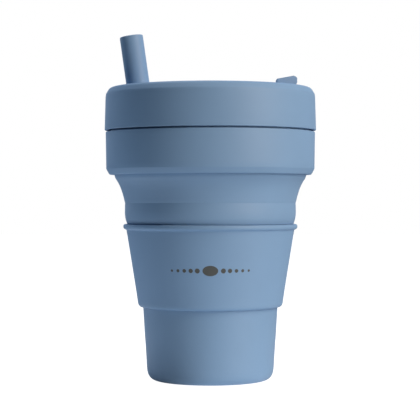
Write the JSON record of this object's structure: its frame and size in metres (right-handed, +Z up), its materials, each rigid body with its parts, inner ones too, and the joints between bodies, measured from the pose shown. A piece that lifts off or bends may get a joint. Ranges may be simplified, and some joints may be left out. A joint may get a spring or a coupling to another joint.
{
  "type": "collapsible travel cup",
  "caption": "Folding silicone travel cup with a hard screw lid, flip stopper, drinking straw, collar and heat sleeve.",
  "frame": {"origin": "centre of the cup's foot, on the surface it stands on", "axes": "+Z up along the cup's axis; the straw leans towards -X and the stopper's tab points to +X"},
  "size_m": [0.1018, 0.1018, 0.1661],
  "materials": {
    "cup_base": "matte silicone",
    "cup_lower_fold": "matte silicone",
    "cup_middle": "matte silicone",
    "cup_upper_fold": "matte silicone",
    "cup_rim": "matte silicone",
    "heat_sleeve": "fine matte polypropylene",
    "collar": "fine matte polypropylene",
    "lid": "fine matte polypropylene",
    "lid_seal": "matte silicone",
    "stopper_anchor": "matte silicone",
    "stopper_flap": "matte silicone",
    "straw": "matte silicone"
  },
  "bodies": {
    "base": {"cup_base": "cup_base", "cup_lower_fold": "cup_lower_fold"},
    "middle": {"cup_middle": "cup_middle", "cup_upper_fold": "cup_upper_fold"},
    "sleeve": {"heat_sleeve": "heat_sleeve"},
    "collar": {"collar": "collar", "cup_rim": "cup_rim"},
    "seal": {"lid_seal": "lid_seal"},
    "lid": {"lid": "lid", "stopper_anchor": "stopper_anchor"},
    "stopper": {"stopper_flap": "stopper_flap"},
    "straw": {"straw": "straw"}
  },
  "joints": [
    {"name": "lower_fold_collapse", "type": "slide", "parent": "base", "child": "middle", "axis": [0, 0, -1], "range_m": [0, 0.034], "deforming": ["cup_lower_fold"]},
    {"name": "upper_fold_collapse", "type": "slide", "parent": "middle", "child": "collar", "axis": [0, 0, -1], "range_m": [0, 0.048], "deforming": ["cup_upper_fold"]},
    {"name": "lid_lift", "type": "slide", "parent": "collar", "child": "seal", "axis": [0, 0, 1], "range_m": [0, 0.13]},
    {"name": "lid_turn", "type": "hinge", "parent": "seal", "child": "lid", "pos_m": [0, 0, 0.13], "axis": [0, 0, 1], "range_deg": [0, 450]},
    {"name": "stopper_open", "type": "hinge", "parent": "lid", "child": "stopper", "pos_m": [0.02405, 0, 0.1403], "axis": [0, -1, 0], "range_deg": [0, 115]},
    {"name": "straw_pull", "type": "slide", "parent": "lid", "child": "straw", "axis": [-0.1395, 0, 0.9902], "range_m": [0, 0.178]},
    {"name": "sleeve_slide", "type": "slide", "parent": "middle", "child": "sleeve", "axis": [0, 0, 1], "range_m": [-0.035, 0]}
  ],
  "couplings": [
    {"joint": "upper_fold_collapse", "follows": "lower_fold_collapse", "ratio": 1.4118},
    {"joint": "straw_pull", "follows": "lower_fold_collapse", "ratio": 5.2353}
  ]
}
